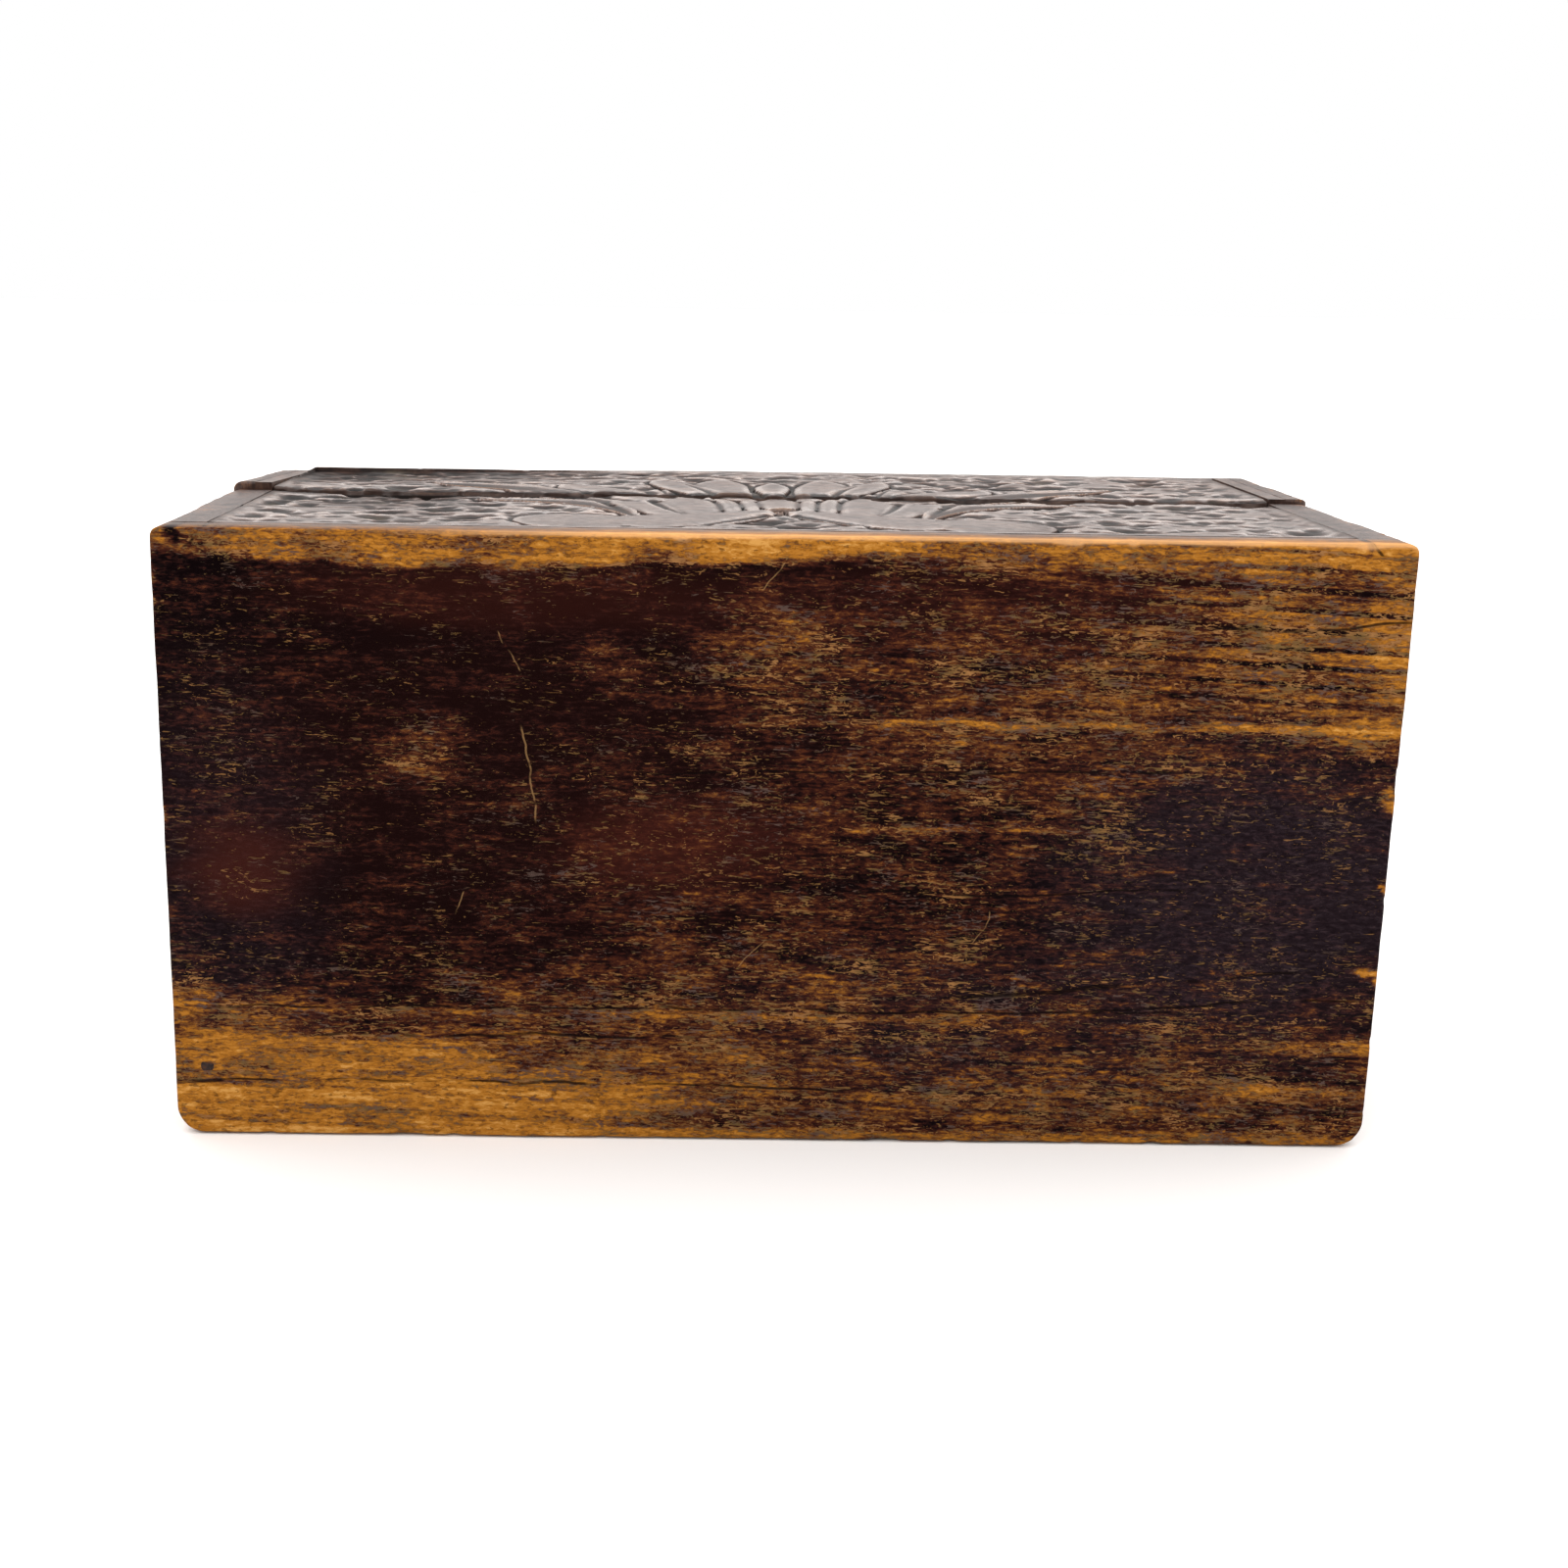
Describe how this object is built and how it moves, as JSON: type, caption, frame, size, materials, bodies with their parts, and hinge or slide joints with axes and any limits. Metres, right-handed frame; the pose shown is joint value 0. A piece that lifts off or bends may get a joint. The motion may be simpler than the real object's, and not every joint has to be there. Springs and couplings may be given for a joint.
{
  "type": "wooden puzzle box",
  "caption": "Carved softwood box whose lid slides off on hidden rails, held by bolts under sliding end panels.",
  "frame": {"origin": "centre of the bounding box's bottom, which is the box's back face: the box lies on its back", "axes": "+X along the box, +Y from the plain base board to the carved lid board, +Z out of the carved front. In use the box stands on the base board, with +Y up."},
  "size_m": [0.2, 0.112, 0.1034],
  "materials": {
    "plain_stained_softwood": "worn dark brown stain over orange softwood, satin",
    "carved_stained_softwood": "carved, dark brown-black stain, polished by handling",
    "back_stained_softwood": "plain, thin dark stain, satin",
    "bare_softwood": "bare, planed",
    "bare_hardwood": "bare, waxed where it slides",
    "nail_iron": "dull, darkened"
  },
  "bodies": {
    "tray": {"base_board": "plain_stained_softwood", "tray_front_panel": "carved_stained_softwood", "tray_back_panel": "back_stained_softwood", "tray_left_end": "carved_stained_softwood", "tray_right_end": "carved_stained_softwood", "left_slide_rail": "bare_softwood", "right_slide_rail": "bare_softwood", "tray_front_glue_strip": "bare_softwood", "tray_back_glue_strip": "bare_softwood", "base_nails": "nail_iron"},
    "lid": {"lid_board": "carved_stained_softwood", "lid_front_panel": "carved_stained_softwood", "lid_back_panel": "back_stained_softwood", "lid_left_cheek": "bare_softwood", "lid_right_cheek": "bare_softwood", "lid_left_runner": "bare_hardwood", "lid_right_runner": "bare_hardwood", "left_cover_cleat": "bare_hardwood", "right_cover_cleat": "bare_hardwood", "left_stop_peg": "bare_hardwood", "right_stop_peg": "bare_hardwood", "lid_front_glue_strip": "bare_softwood", "lid_back_glue_strip": "bare_softwood", "lid_nails": "nail_iron"},
    "left_cover": {"left_end_cover": "carved_stained_softwood"},
    "right_cover": {"right_end_cover": "carved_stained_softwood"},
    "left_bolt": {"left_bolt": "bare_hardwood"},
    "right_bolt": {"right_bolt": "bare_hardwood"}
  },
  "joints": [
    {"name": "lid_slide", "type": "slide", "parent": "tray", "child": "lid", "axis": [0, 0, 1], "range_m": [0, 0.105]},
    {"name": "left_cover_slide", "type": "slide", "parent": "lid", "child": "left_cover", "axis": [0, 0, 1], "range_m": [0, 0.032]},
    {"name": "right_cover_slide", "type": "slide", "parent": "lid", "child": "right_cover", "axis": [0, 0, 1], "range_m": [0, 0.032]},
    {"name": "left_bolt_slide", "type": "slide", "parent": "lid", "child": "left_bolt", "axis": [0, -1, 0], "range_m": [0, 0.007]},
    {"name": "right_bolt_slide", "type": "slide", "parent": "lid", "child": "right_bolt", "axis": [0, -1, 0], "range_m": [0, 0.007]}
  ]
}
